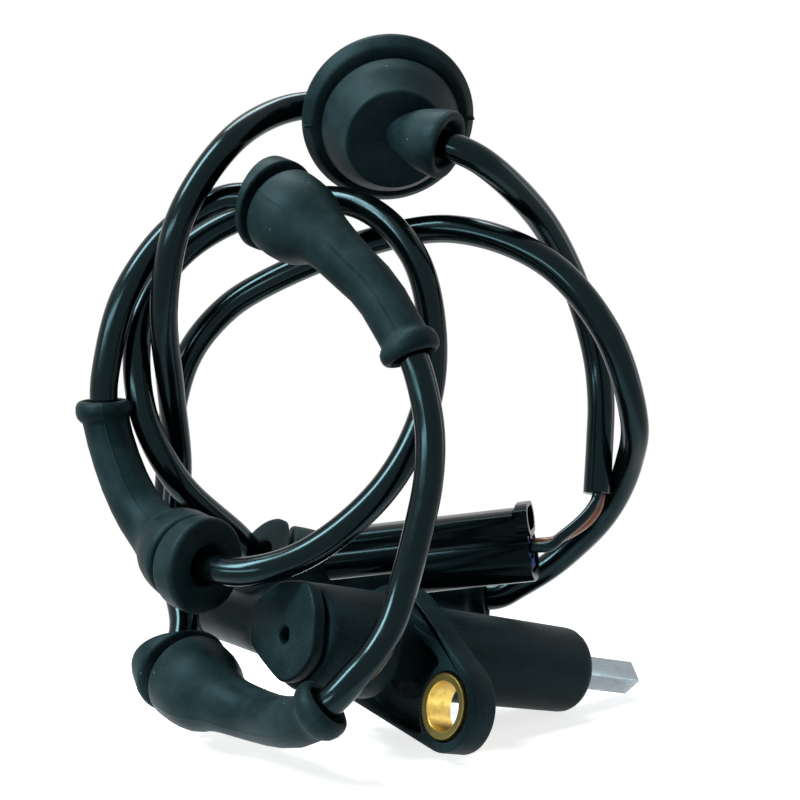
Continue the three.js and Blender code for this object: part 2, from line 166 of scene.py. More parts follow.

# %% [markdown]
# The camera comes first, because the seams on the boots and the grommet are turned by its direction. It looks at the
# sensor a little from above, from the side on which the photograph was taken.

# %% Camera
AIM = Vector((-0.003, 0.012, 0.058))
TURN = math.radians(-36)
RISE = math.radians(6)
STAND_BACK = 0.340
toward_camera = Vector((math.sin(TURN) * math.cos(RISE), -math.cos(TURN) * math.cos(RISE), math.sin(RISE)))
camera_data = bpy.data.cameras.new("studio_camera")
camera_data.lens = 84.15
camera_data.sensor_width = 36
camera_data.clip_start = 0.01
camera = bpy.data.objects.new("studio_camera", camera_data)
camera.location = AIM + toward_camera * STAND_BACK
camera.rotation_euler = toward_camera.to_track_quat("Z", "Y").to_euler()
bpy.context.collection.objects.link(camera)
bpy.context.scene.camera = camera
print("camera at", tuple(round(v, 3) for v in camera.location))

# %% [markdown]
# The lead is one fixed length of round two-core cable. It leaves the stub, makes loose turns, passes
# through four boots and the grommet, and ends where its jacket is cut back from the two wires. The
# route is a list of points, the same as in the part's own source.

# %% The lead's route
FLANGE_1 = (-0.0186, 0.034, 0.0268)
FLANGE_2 = (-0.0459, 0.0098, 0.0328)
FLANGE_3 = (-0.0275, 0.0168, 0.0936)
FLANGE_4 = (-0.0448, 0.02, 0.0134)
DISC_POINT = (-0.008, 0.0055, 0.106)
JACKET_END = (0.0241, -0.0114, 0.0412)
LEAD_ROUTE = [
    # out of the stub and up the left side
    (-0.03245, 0.012, 0.01985), (-0.03245, 0.026, 0.01985), (-0.03245, 0.0335, 0.0199),
    (-0.0324, 0.04, 0.0228), (-0.0325, 0.0445, 0.0285), (-0.0325, 0.046, 0.036),
    (-0.0325, 0.045, 0.0445), (-0.032, 0.0434, 0.0575), (-0.0299, 0.0405, 0.0666),
    (-0.0251, 0.0361, 0.0742),
    # over the top to the right, down the right side and back to the left
    (-0.0199, 0.0305, 0.079), (-0.008, 0.018, 0.086), (0.002, 0.003, 0.089), (0.0105, -0.0125, 0.0835),
    (0.0171, -0.021, 0.0716), (0.0244, -0.0206, 0.0555), (0.0287, -0.0148, 0.047),
    (0.0298, -0.0103, 0.0404), (0.0288, -0.0071, 0.0355), (0.0269, -0.0035, 0.0311),
    (0.0232, 0.0007, 0.0261), (0.0189, 0.0045, 0.0224),
    # first boot
    (0.0158, 0.007, 0.0203), (0.0094, 0.0136, 0.0203), (0.0017, 0.021, 0.0218),
    (-0.0069, 0.0276, 0.0238), FLANGE_1,
    # second turn: up the left side, over the top and down the front
    (-0.0259, 0.033, 0.0329), (-0.038, 0.0325, 0.044), (-0.0435, 0.035, 0.0575),
    (-0.0415, 0.038, 0.0735), (-0.033, 0.0375, 0.085), (-0.0215, 0.029, 0.0925),
    (-0.0115, 0.014, 0.0935), (-0.008, 0.0015, 0.085), (-0.0085, -0.005, 0.072),
    (-0.0135, -0.0095, 0.0585), (-0.0225, -0.01, 0.046), (-0.0345, -0.0055, 0.036),
    (-0.0423, 0.0005, 0.0328),
    # second boot
    FLANGE_2, (-0.0454, 0.0187, 0.034), (-0.046, 0.0253, 0.0361), (-0.0469, 0.0297, 0.0393),
    (-0.0478, 0.0328, 0.0435), (-0.0487, 0.0351, 0.0485), (-0.0494, 0.0366, 0.0534),
    # third turn up the left side
    (-0.0498, 0.0373, 0.0587), (-0.0495, 0.0367, 0.0647), (-0.0466, 0.0344, 0.0776),
    (-0.0388, 0.0302, 0.0894), (-0.0312, 0.0236, 0.0946),
    # third boot
    FLANGE_3, (-0.0267, 0.0094, 0.0907), (-0.0256, 0.0027, 0.0876), (-0.0244, -0.0029, 0.0835),
    (-0.0226, -0.0082, 0.0791), (-0.0216, -0.0122, 0.0741),
    # down the front
    (-0.0207, -0.0159, 0.0687), (-0.0201, -0.0182, 0.0626), (-0.0199, -0.0196, 0.056),
    (-0.0209, -0.0205, 0.0488), (-0.023, -0.0208, 0.0413), (-0.0263, -0.0211, 0.0322),
    (-0.0292, -0.0219, 0.0266), (-0.0331, -0.0224, 0.022), (-0.0373, -0.0222, 0.0184),
    # fourth boot
    (-0.0406, -0.0203, 0.0146), (-0.0426, -0.0163, 0.0114), (-0.0429, -0.0109, 0.0099),
    (-0.0426, -0.0018, 0.009), (-0.0443, 0.0049, 0.0098), (-0.0452, 0.0122, 0.0113), FLANGE_4,
    # last turn: up the left side into the back of the grommet
    (-0.0412, 0.0248, 0.0199), (-0.0394, 0.031, 0.0273), (-0.0354, 0.0376, 0.0365),
    (-0.0345, 0.038, 0.046), (-0.0379, 0.0343, 0.0601), (-0.042, 0.029, 0.0755),
    (-0.041, 0.0245, 0.091), (-0.0325, 0.022, 0.104), (-0.0205, 0.024, 0.11),
    (-0.0123, 0.0222, 0.1112), (-0.008, 0.0146, 0.1093),
    # through the grommet and down to the plug
    DISC_POINT, (-0.007, -0.001, 0.1045), (-0.005, -0.0065, 0.103), (-0.0011, -0.0094, 0.1006),
    (0.0136, -0.0075, 0.0908), (0.0244, -0.0051, 0.0779), (0.028, -0.0064, 0.0661),
    (0.0279, -0.008, 0.0578), (0.0263, -0.0096, 0.0507), JACKET_END,
]
BLACK_WIRE_ROUTE = [
    (0.0231, -0.0125, 0.0409), (0.0212, -0.0133, 0.0393), (0.019, -0.0137, 0.0378),
    (0.0163, -0.0138, 0.0362), (0.0138, -0.0136, 0.0348),
]
BROWN_WIRE_ROUTE = [
    (0.0251, -0.0111, 0.0403), (0.0239, -0.0116, 0.0385), (0.0219, -0.0117, 0.0367),
    (0.0194, -0.0113, 0.0352), (0.0169, -0.0108, 0.0342),
]
print("points on the lead:", len(LEAD_ROUTE))

# %% [markdown]
# A smooth curve goes through the points. This one is a centripetal Catmull-Rom spline, which is what
# the source uses too, so both leads lie in one place. The curve is cut into even steps, and each step
# carries a pair of side directions that turn as little as possible. Everything that is threaded on
# the lead is later bent along these steps.

# %% A run: even steps along a smooth curve
class Run:
    def __init__(self, route, step=0.8 * MM):
        points = [Vector(p) for p in route]
        ends = [points[0] * 2 - points[1]] + points + [points[-1] * 2 - points[-2]]
        fine, self.knots = [], []
        for a, b, c, d in zip(ends, ends[1:], ends[2:], ends[3:]):
            self.knots.append(len(fine))
            fine += self.piece(a, b, c, d, 40)
        self.knots.append(len(fine))
        fine.append(points[-1])
        lengths = [0.0]
        for p, q in zip(fine, fine[1:]):
            lengths.append(lengths[-1] + (q - p).length)
        self.length = lengths[-1]
        self.knots = [lengths[k] for k in self.knots]
        count = max(8, round(self.length / step))
        self.step = self.length / count
        self.points, j = [], 0
        for i in range(count + 1):
            at = min(self.length, i * self.step)
            while j < len(fine) - 2 and lengths[j + 1] < at:
                j += 1
            part = (at - lengths[j]) / (lengths[j + 1] - lengths[j])
            self.points.append(fine[j].lerp(fine[j + 1], min(1.0, part)))
        self.tangents = []
        for i in range(count + 1):
            low, high = max(0, i - 1), min(count, i + 1)
            self.tangents.append((self.points[high] - self.points[low]).normalized())
        side = self.tangents[0].cross(Vector((0, 0, 1)))
        self.sides = [side.normalized()]
        for t in self.tangents[1:]:
            side = self.sides[-1] - t * self.sides[-1].dot(t)
            self.sides.append(side.normalized())
        self.ups = [t.cross(s) for t, s in zip(self.tangents, self.sides)]

    @staticmethod
    def piece(a, b, c, d, count):
        ab, bc, cd = (max(1e-9, (q - p).length) ** 0.5 for p, q in ((a, b), (b, c), (c, d)))
        out = ((b - a) / ab - (c - a) / (ab + bc) + (c - b) / bc) * bc
        into = ((c - b) / bc - (d - b) / (bc + cd) + (d - c) / cd) * bc
        points = []
        for i in range(count):
            t = i / count
            points.append(b + out * t + (c * 3 - b * 3 - out * 2 - into) * t ** 2
                          + (b * 2 - c * 2 + out + into) * t ** 3)
        return points

    def at(self, along):
        """The point and the three directions at a distance along the curve."""
        place = max(0.0, min(self.length, along)) / self.step
        i = min(len(self.points) - 2, int(place))
        part = place - i
        point = self.points[i].lerp(self.points[i + 1], part)
        tangent = self.tangents[i].lerp(self.tangents[i + 1], part).normalized()
        side = self.sides[i].lerp(self.sides[i + 1], part)
        side = (side - tangent * side.dot(tangent)).normalized()
        over = along - max(0.0, min(self.length, along))
        return point + tangent * over, tangent, side, tangent.cross(side)


lead = Run(LEAD_ROUTE)
print("lead length in metres:", round(lead.length, 3))

# %% [markdown]
# All finished meshes pass through one helper. It gives the mesh smooth shading with sharp edges kept,
# one material, its slot in the record, a body to ride on and the solids that it stands for. The
# finished object stays at the origin, so patterns on Object coordinates keep their place.

# %% Helpers for finished pieces
def new_piece(name, verts, faces):
    mesh = bpy.data.meshes.new(name)
    mesh.from_pydata([tuple(v) for v in verts], [], faces)
    mesh.validate()
    piece = bpy.data.objects.new(name, mesh)
    bpy.context.collection.objects.link(piece)
    return piece


def drop(piece):
    """Takes away a helper object and its mesh."""
    mesh = piece.data
    bpy.data.objects.remove(piece)
    bpy.data.meshes.remove(mesh)


def face_outward(piece, weld=0.0):
    """Turns all faces outwards, after joining points that are closer than weld."""
    made = bmesh.new()
    made.from_mesh(piece.data)
    if weld:
        bmesh.ops.remove_doubles(made, verts=made.verts, dist=weld)
    bmesh.ops.recalc_face_normals(made, faces=made.faces)
    made.to_mesh(piece.data)
    made.free()
    return piece


def apply_modifiers(piece):
    """The piece's mesh becomes what its modifiers make, and the modifiers go."""
    evaluated = piece.evaluated_get(bpy.context.evaluated_depsgraph_get())
    mesh = bpy.data.meshes.new_from_object(evaluated)
    piece.modifiers.clear()
    old = piece.data
    piece.data = mesh
    bpy.data.meshes.remove(old)
    mesh.name = piece.name


def round_edges(piece, width, segments=2, angle=35):
    bevel = piece.modifiers.new("round", "BEVEL")
    bevel.width = width
    bevel.segments = segments
    bevel.limit_method = "ANGLE"
    bevel.angle_limit = math.radians(angle)
    bevel.use_clamp_overlap = True
    apply_modifiers(piece)


def merge(name, pieces):
    """Joins several meshes into one object."""
    made = bmesh.new()
    for piece in pieces:
        made.from_mesh(piece.data)
        drop(piece)
    mesh = bpy.data.meshes.new(name)
    made.to_mesh(mesh)
    made.free()
    joined = bpy.data.objects.new(name, mesh)
    bpy.context.collection.objects.link(joined)
    return joined


def finish(piece, slot, material, nodes=(), sharp=38):
    mesh = piece.data
    mesh.materials.clear()
    mesh.materials.append(material)
    mesh.shade_smooth()
    mesh.set_sharp_from_angle(angle=math.radians(sharp))
    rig.slot(piece, slot)
    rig.ride(piece, "root")
    if nodes:
        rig.replaces(piece, *nodes)
    print(piece.name, len(mesh.polygons), "faces")
    return piece


# %% [markdown]
# Most of this part is round. A lathe turns a profile of (distance, radius) pairs about the local X
# axis. The same profile can be threaded on a run, and then it bends with the lead. A profile starts
# and ends on the axis, or it closes on itself, so every piece is a closed body.

# %% Lathes, straight and bent
def rings(name, profile, place, segments, swell=None):
    """place(along, radius, angle) gives a point. Radius 0 at both ends makes poles, else it closes."""
    verts, faces, rows = [], [], []
    for along, radius in profile:
        if radius <= 1e-9:
            rows.append([len(verts)])
            verts.append(place(along, 0.0, 0.0))
            continue
        row = []
        for k in range(segments):
            angle = 2 * math.pi * k / segments
            more = swell(along, angle) if swell else 0.0
            row.append(len(verts))
            verts.append(place(along, radius + more, angle))
        rows.append(row)
    loops = list(zip(rows, rows[1:]))
    if len(rows[0]) > 1:
        loops.append((rows[-1], rows[0]))
    for a, b in loops:
        if len(a) == 1 and len(b) == 1:
            continue
        for k in range(segments):
            n = (k + 1) % segments
            if len(a) == 1:
                faces.append((a[0], b[n], b[k]))
            elif len(b) == 1:
                faces.append((a[k], a[n], b[0]))
            else:
                faces.append((a[k], a[n], b[n], b[k]))
    return face_outward(new_piece(name, verts, faces))


def turned(name, profile, matrix, segments):
    def place(along, radius, angle):
        return matrix @ Vector((along, radius * math.cos(angle), radius * math.sin(angle)))
    return rings(name, profile, place, segments)


def threaded(name, profile, run, start, direction, segments, swell=None):
    def place(along, radius, angle):
        point, tangent, side, up = run.at(start + direction * along)
        return point + side * (radius * math.cos(angle)) + up * (radius * math.sin(angle))
    return rings(name, profile, place, segments, swell)


def in_mm(profile):
    return [(x * MM, r * MM) for x, r in profile]


def bored(profile, radius, pitch=1.5):
    """Closes a profile with a bore in short steps, so that the bore bends too."""
    end, start = profile[-1][0], profile[0][0]
    count = max(2, round(abs(end - start) / pitch))
    back = [(end + (start - end) * k / count, radius) for k in range(count + 1)]
    return in_mm(profile + back)


# %% [markdown]
# Flat moulded pieces start as an outline that is given thickness. Outlines that wrap round a few
# circles describe most of them, because that is how such mouldings are drawn.

# %% Plates from outlines
def wrap(circles, count=96):
    points = []
    for i in range(count):
        angle = 2 * math.pi * i / count
        y, z = math.cos(angle), math.sin(angle)
        cy, cz, r = max(circles, key=lambda c: c[0] * y + c[1] * z + c[2])
        points.append((cy + r * y, cz + r * z))
    return points


def smooth_outline(points, times=3):
    for _ in range(times):
        cut = []
        for (y0, z0), (y1, z1) in zip(points, points[1:] + points[:1]):
            cut.append((y0 * 0.75 + y1 * 0.25, z0 * 0.75 + z1 * 0.25))
            cut.append((y0 * 0.25 + y1 * 0.75, z0 * 0.25 + z1 * 0.75))
        points = cut
    return points


def plate(name, outline, x0, x1, matrix):
    """An outline in millimetres in the local YZ plane, standing between x0 and x1."""
    count = len(outline)
    verts = [matrix @ Vector((x * MM, y * MM, z * MM)) for x in (x0, x1) for y, z in outline]
    faces = [tuple(range(count)), tuple(range(2 * count - 1, count - 1, -1))]
    faces += [(k, count + k, count + (k + 1) % count, (k + 1) % count) for k in range(count)]
    return face_outward(new_piece(name, verts, faces), weld=0.001 * MM)


def combine(piece, others, operation):
    for other in others:
        step = piece.modifiers.new("combine", "BOOLEAN")
        step.operation = operation
        step.solver = "EXACT"
        step.object = other
    apply_modifiers(piece)
    for other in others:
        drop(other)


# %% [markdown]
# The finishes are written as sums. A small class wraps a socket, and its operators add the Math
# nodes, so a grain reads like a formula. One method makes every other node: it takes the node's
# type, its settings and the values or links of its sockets.

# %% Shader sums
class Number:
    def __init__(self, tree, socket):
        self.tree = tree
        self.socket = socket

    def sum(self, operation, *values):
        node = self.tree.nodes.new("ShaderNodeMath")
        node.operation = operation
        for i, value in enumerate(values):
            if isinstance(value, Number):
                self.tree.links.new(value.socket, node.inputs[i])
            else:
                node.inputs[i].default_value = value
        return Number(self.tree, node.outputs[0])

    def __add__(self, other):
        return self.sum("ADD", self, other)

    def __radd__(self, other):
        return self.sum("ADD", other, self)

    def __sub__(self, other):
        return self.sum("SUBTRACT", self, other)

    def __rsub__(self, other):
        return self.sum("SUBTRACT", other, self)

    def __mul__(self, other):
        return self.sum("MULTIPLY", self, other)

    def __rmul__(self, other):
        return self.sum("MULTIPLY", other, self)

    def clamp(self, low=0.0, high=1.0):
        return self.sum("MINIMUM", self.sum("MAXIMUM", self, low), high)

    def step(self, low, high):
        """0 below low, 1 above high, even between them."""
        return ((self - low) * (1.0 / (high - low))).clamp()


class Nodes:
    """The method that makes nodes, for the tree of a material or of the world."""

    def __init__(self, tree):
        self.tree = tree

    def node(self, kind, settings=None, inputs=None, output=0):
        node = self.tree.nodes.new(kind)
        for key, value in (settings or {}).items():
            setattr(node, key, value)
        for key, value in (inputs or {}).items():
            if isinstance(value, Number):
                value = value.socket
            if isinstance(value, bpy.types.NodeSocket):
                self.tree.links.new(value, node.inputs[key])
            else:
                node.inputs[key].default_value = value
        return Number(self.tree, node.outputs[output])


class Finish(Nodes):
    """A material with one Principled shader."""

    def __init__(self, name, color, roughness, **fixed):
        self.material = bpy.data.materials.new(name)
        self.material.use_nodes = True
        super().__init__(self.material.node_tree)
        self.shader = self.tree.nodes["Principled BSDF"]
        self.shader.inputs["Base Color"].default_value = (*color, 1)
        self.shader.inputs["Roughness"].default_value = roughness
        for socket, value in fixed.items():
            self.shader.inputs[socket.replace("_", " ")].default_value = value
        self.material.diffuse_color = (*color, 1)
        self.color = color
        self.where = self.node("ShaderNodeTexCoord", output="Object").socket

    def noise(self, size, detail=2.0, roughness=0.5):
        return self.node("ShaderNodeTexNoise", None, {
            "Vector": self.where, "Scale": 1.0 / size, "Detail": detail, "Roughness": roughness})

    def spots(self, size):
        """Distance to the nearest of many scattered points, 0 at a point."""
        return self.node("ShaderNodeTexVoronoi", None, {"Vector": self.where, "Scale": 1.0 / size})

    def stretched(self, scale):
        return self.node("ShaderNodeMapping", None, {"Vector": self.where, "Scale": scale}).socket

    def feed(self, socket, value):
        self.tree.links.new(value.socket, self.shader.inputs[socket])

    def paint(self, amount, other):
        """Base colour between the finish's own colour and another one."""
        mixed = self.node("ShaderNodeMix", {"data_type": "RGBA"},
                          {0: amount, 6: (*self.color, 1), 7: (*other, 1)}, 2)
        self.feed("Base Color", mixed)

    def bump(self, height, depth, strength=1.0):
        bumped = self.node("ShaderNodeBump", None,
                           {"Height": height, "Distance": depth, "Strength": strength})
        self.feed("Normal", bumped)


print("shader helpers ready")

# %% [markdown]
# The lead's jacket is extruded and glossy. Long shallow waves along it bend the reflections a little,
# which a perfect tube would not. A few grains of dust sit on it.

# %% Finish of the jacket
TEAL = (0.5, 0.9, 1.0, 1.0)


def jacket_finish():
    made = Finish("gloss_jacket", (0.0008, 0.0018, 0.0021), 0.14,
                  Specular_IOR_Level=0.2, Specular_Tint=TEAL)
    along = made.noise(9 * MM, 1.5)
    fine = made.noise(0.5 * MM, 2.0)
    scuffs = made.noise(5 * MM, 4.0, 0.65).step(0.56, 0.8)
    made.feed("Roughness", 0.13 + along * 0.08 + scuffs * 0.14)
    dust = made.spots(1.6 * MM).step(0.045, 0.02)
    made.paint((dust * 0.12 + scuffs * 0.012).clamp(), (0.17, 0.29, 0.32))
    made.bump(along * 1.0 + fine * 0.04, 0.12 * MM, 0.6)
    return made.material


# %% [markdown]
# The boots, the grommet and the sleeve are moulded rubber. It is matt, slightly greyed where it was
# handled, and strewn with small pale specks of dust.

# %% Finish of the rubber
def rubber_finish():
    made = Finish("matt_rubber", (0.0033, 0.0086, 0.0100), 0.5,
                  Specular_IOR_Level=0.08, Specular_Tint=TEAL)
    cloud = made.noise(7 * MM, 4.0, 0.6)
    haze = cloud.step(0.42, 0.78)
    grain = made.noise(0.16 * MM, 2.0)
    specks = made.spots(0.9 * MM).step(0.075, 0.03) * made.noise(4 * MM, 1.0).step(0.45, 0.6)
    large = made.spots(3.2 * MM).step(0.05, 0.02)
    made.feed("Roughness", 0.42 + haze * 0.16 + grain * 0.08)
    made.paint((haze * 0.05 + (specks * 0.25 + large * 0.45)).clamp(), (0.20, 0.35, 0.38))
    made.bump(grain * 0.5 + made.noise(1.4 * MM, 3.0) * 0.5, 0.05 * MM, 0.5)
    return made.material


# %% [markdown]
# The sensor is moulded in filled plastic with a spark-eroded grain, which makes it look satin. The
# plug is a smoother moulding with a gloss.

# %% Finishes of the plastics
def housing_finish():
    made = Finish("grained_plastic", (0.0036, 0.0090, 0.0105), 0.42,
                  Specular_IOR_Level=0.07, Specular_Tint=TEAL)
    grain = made.noise(0.22 * MM, 3.0, 0.6)
    cells = made.spots(0.34 * MM)
    cloud = made.noise(6 * MM, 3.0).step(0.4, 0.75)
    pale = made.noise(0.3 * MM, 2.0).step(0.62, 0.75)
    made.feed("Roughness", 0.38 + grain * 0.16 + cloud * 0.06)
    made.paint((pale * 0.10 + cloud * 0.02).clamp(), (0.17, 0.31, 0.34))
    made.bump(grain + cells * 0.4, 0.06 * MM, 0.7)
    return made.material


def plug_finish():
    made = Finish("gloss_plug", (0.0008, 0.0018, 0.0021), 0.14, Specular_IOR_Level=0.07, Specular_Tint=TEAL)
    cloud = made.noise(4 * MM, 3.0)
    specks = made.spots(1.1 * MM).step(0.05, 0.025)
    made.feed("Roughness", 0.1 + cloud * 0.1 + specks * 0.2)
    made.paint((specks * 0.1).clamp(), (0.17, 0.31, 0.34))
    made.bump(cloud, 0.05 * MM, 0.4)
    return made.material


def coloured_finish(name, color, roughness, dark):
    made = Finish(name, color, roughness)
    cloud = made.noise(1.2 * MM, 3.0)
    made.paint(cloud.step(0.45, 0.8) * 0.5, dark)
    made.feed("Roughness", roughness - 0.05 + cloud * 0.1)
    made.bump(made.noise(0.3 * MM, 2.0), 0.02 * MM, 0.4)
    return made.material


# %% [markdown]
# Metals: the bush is turned brass, and its knurl and end face take a darker copy of the brass that is painted shade;
# the pin is drawn square steel bar with fine lines along it, and the hidden magnet is a dull sintered block.

# %% Finishes of the metals
LINE_CONTRAST = 0.12


def metal_finish(name, color, roughness, scale, other):
    """Fine lines lie along the direction in which scale is small."""
    made = Finish(name, color, roughness, Metallic=1.0)
    drawn = made.node("ShaderNodeTexNoise", None,
                      {"Vector": made.stretched(scale), "Scale": 1.0, "Detail": 2.0})
    tarnish = made.noise(1.1 * MM, 4.0, 0.6).step(0.48, 0.8)
    made.paint((tarnish * 0.6).clamp(), other)
    made.feed("Roughness", roughness - LINE_CONTRAST / 2 + drawn * LINE_CONTRAST + tarnish * 0.15)
    made.bump(drawn, 0.01 * MM, 0.5)
    return made.material


JACKET = jacket_finish()
RUBBER = rubber_finish()
HOUSING = housing_finish()
PLUG = plug_finish()
BROWN = coloured_finish("brown_insulation", (0.30, 0.075, 0.018), 0.32, (0.12, 0.03, 0.01))
BLUE = coloured_finish("blue_seal", (0.012, 0.05, 0.42), 0.4, (0.006, 0.02, 0.2))
LOCK = coloured_finish("blue_lock", (0.012, 0.05, 0.36), 0.3, (0.006, 0.02, 0.2))
NYLON = coloured_finish("natural_nylon", (0.30, 0.31, 0.28), 0.5, (0.2, 0.2, 0.17))
BRASS = metal_finish("turned_brass", (0.72, 0.50, 0.13), 0.3, (300, 4000, 4000), (0.26, 0.18, 0.05))
# A darker, rougher copy of the brass for the bush's end face and knurl; the darkening is painted shade.
SHADED_BRASS = metal_finish("dull_brass", (0.20, 0.155, 0.045), 0.42, (300, 4000, 4000), (0.09, 0.07, 0.03))
STEEL = metal_finish("drawn_steel", (0.28, 0.33, 0.36), 0.2, (300, 6000, 6000), (0.16, 0.18, 0.20))
COPPER = metal_finish("winding_copper", (0.62, 0.24, 0.08), 0.3, (9000, 400, 400), (0.3, 0.1, 0.03))
MAGNET = metal_finish("sintered_magnet", (0.16, 0.16, 0.17), 0.5, (4000, 4000, 4000), (0.08, 0.08, 0.09))
print("finishes:", len(bpy.data.materials))

# %% [markdown]
# The cable itself is a swept tube. A mesh tube is used, because the steps of the run are at hand, and
# both of its ends are closed with a cap.

# %% The lead and the two wires
def sweep(name, run, radius, sides):
    profile = [(0.0, 0.0), (0.0, radius * 0.9), (0.04 * radius, radius)]
    count = len(run.points) - 1
    profile += [(i * run.step, radius) for i in range(1, count)]
    profile += [(run.length - 0.04 * radius, radius), (run.length, radius * 0.9), (run.length, 0.0)]
    return threaded(name, profile, run, 0.0, 1, sides)


LEAD_R = 2.5 * MM
jacket = finish(sweep("lead_jacket", lead, LEAD_R, 28), "jacket_plastic", JACKET, ["cable_jacket"])

# Plug frame: +X towards the wires, +Z towards the small lobe
PLUG_AT = Vector((-0.0016, 0.0048, 0.0326))
plug_frame = (Matrix.Translation(PLUG_AT) @ Matrix.Rotation(math.radians(-47.7), 4, "Z")
              @ Matrix.Rotation(math.radians(-8.5), 4, "Y"))
CAVITY_Y, CAVITY_Z = 2.35, -2.6
WIRE_R = 0.95 * MM
wires = []
for name, route, y, finish_of, slot in (
        ("wire_black_visible", BLACK_WIRE_ROUTE, -CAVITY_Y, JACKET, "jacket_plastic"),
        ("wire_brown_visible", BROWN_WIRE_ROUTE, CAVITY_Y, BROWN, "brown_plastic")):
    inside = [plug_frame @ Vector((x * MM, y * MM, CAVITY_Z * MM)) for x in (22, 19, 16, 12.5, 9.2)]
    core, along = lead.at(lead.length - 4.5 * MM)[:2]
    aside = Vector(route[0]) - lead.points[-1]
    core += aside - along * aside.dot(along)
    run = Run([core, *route, *inside], 0.5 * MM)
    piece = sweep(name, run, WIRE_R, 20)
    wires.append((finish(piece, slot, finish_of, ["wire_" + name.split("_")[1]]), run))
print("wire lengths in metres:", [round(run.length, 4) for _, run in wires])

# %% [markdown]
# Each suspension boot is one rubber moulding: two discs with a groove that snaps into a bracket, a
# bulb that narrows to a tube, and a bead round the mouth at the far end. A thin seam from the mould
# runs along two sides. The lead passes through, and both mouths are open.

# %% Suspension boots
BOOT = [
    # the first disc and the groove
    (-1.35, 7.7), (-1.15, 8.1), (-0.8, 8.28), (-0.5, 8.3), (1.5, 8.3), (1.8, 8.26), (2.05, 8),
    (2.15, 7.6), (2.2, 6.0), (2.5, 5.8), (3.5, 5.8), (3.75, 6.0),
    # the second disc, the bulb and the tube
    (3.85, 7.2), (4.0, 7.55), (4.4, 7.78), (5, 7.82), (7, 7.8), (9, 7.62), (10.8, 7.2), (12.3, 6.55),
    (13.6, 5.85), (15, 5.3), (16.6, 4.95), (18.5, 4.72), (21, 4.55), (24, 4.4), (28, 4.28), (32, 4.2),
    (36, 4.15), (38.6, 4.15),
    # the bead round the mouth
    (39.5, 4.22), (39.9, 4.6), (40.4, 4.98), (41.2, 5.15), (42, 5.08), (42.6, 4.8), (42.9, 4.4),
]
BOOT_LENGTH = 43.0
MOUTH_R = 3.55
BORE_R = 2.56
boot_profile = bored([
    (1.1, 3.4), (0.8, MOUTH_R), (-1.1, MOUTH_R), (-1.35, MOUTH_R + 0.3), (-1.4, MOUTH_R + 0.8), (-1.4, 7.4),
    *BOOT, (BOOT_LENGTH, 4.0), (42.8, 3.7), (42.4, MOUTH_R), (40.6, MOUTH_R), (40.4, 3.3),
], BORE_R)


def seam_at(run, along, turn):
    """A ridge where the two halves of the mould met, turned a little away from the camera."""
    side, up = run.at(along)[2:]
    middle = math.atan2(toward_camera.dot(up), toward_camera.dot(side)) + turn

    def seam(distance, angle):
        ridge = max(0.0, 1 - abs(math.sin(angle - middle)) / 0.05)
        return 0.11 * MM * ridge
    return seam


boots = []
for i, (flange, direction, turn) in enumerate([
        (FLANGE_1, -1, 0.6), (FLANGE_2, 1, 0.2), (FLANGE_3, 1, 0.1), (FLANGE_4, -1, -0.7)], 1):
    start = lead.knots[LEAD_ROUTE.index(flange)]
    seam = seam_at(lead, start + direction * 20 * MM, turn)
    piece = threaded(f"boot_{i}_visible", boot_profile, lead, start, direction, 126, seam)
    boots.append(finish(piece, "boot_rubber", RUBBER, [f"suspension_boot_{i}"], sharp=50))

# %% [markdown]
# The panel grommet is a rubber cup. Its rim snaps into a hole in the body panel, its face is a flat
# disc with the mould's seam across it, and a horn leads the cable out of the disc sideways.

# %% Panel grommet
GROMMET_AT = Vector((-0.0094, 0.0043, 0.1045))
GROMMET_AXIS = Vector((-0.431, -0.821, -0.375)).normalized()
grommet_turn = Vector((1, 0, 0)).rotation_difference(GROMMET_AXIS).to_matrix().to_4x4()
grommet_frame = Matrix.Translation(GROMMET_AT) @ grommet_turn
cup_profile = in_mm([
    (-12, 12.2), (-12, 15), (-11.85, 15.3), (-11.6, 15.45), (-11.3, 15.5), (-10.9, 15.48), (-10.5, 15.3),
    (-9.2, 14.3), (-8.9, 14.0), (-8.8, 13.6), (-8.8, 12.3), (-8.9, 11.6), (-8.8, 11.3), (-7.9, 11.3),
    (-7.7, 11.5), (-7.6, 12.1), (-7.4, 12.3),
    (-7.1, 12.3), (-4.5, 11.2), (-1.3, 9.4), (-0.6, 9.1), (-0.2, 8.9), (-0.05, 8.7), (0, 8.4), (0, 0),
])
cup_inside = in_mm([(-2, 0), (-2, 7.6), (-3.4, 8.2), (-6, 9.4), (-8, 10.1), (-9.5, 10.6), (-11.8, 12)])
cup = turned("cup", cup_inside + cup_profile, grommet_frame, 96)
disc_at = lead.knots[LEAD_ROUTE.index(DISC_POINT)]
horn_profile = bored([
    (-1.8, 3.2), (0, 3.3), (1.4, 3.55), (2.8, 4.0), (4.2, 4.55), (5.6, 5.05), (7.2, 5.45), (9, 5.75),
    (10.6, 5.98), (11.2, 6.0), (11.6, 5.8), (11.7, 5.5), (11.65, 4.6), (11.3, 4.2), (10.4, 3.9), (9.6, 3.8),
], BORE_R)
horn = threaded("horn", horn_profile, lead, disc_at, 1, 64)
seam_way = Vector((0, 0, 1)).cross(toward_camera)
seam_way = (seam_way - GROMMET_AXIS * seam_way.dot(GROMMET_AXIS)).normalized()
seam_side = GROMMET_AXIS.cross(seam_way)


def mould_line(name, way_mm, height_mm, width=0.16 * MM):
    """A fine raised line where the halves of the mould met, as a small closed bar."""
    verts = [GROMMET_AT + seam_way * a * MM + GROMMET_AXIS * h * MM + seam_side * s * width
             for a in way_mm for h in height_mm for s in (-1, 1)]
    faces = [(0, 1, 3, 2), (4, 6, 7, 5), (0, 4, 5, 1), (2, 3, 7, 6), (0, 2, 6, 4), (1, 5, 7, 3)]
    return face_outward(new_piece(name, verts, faces))


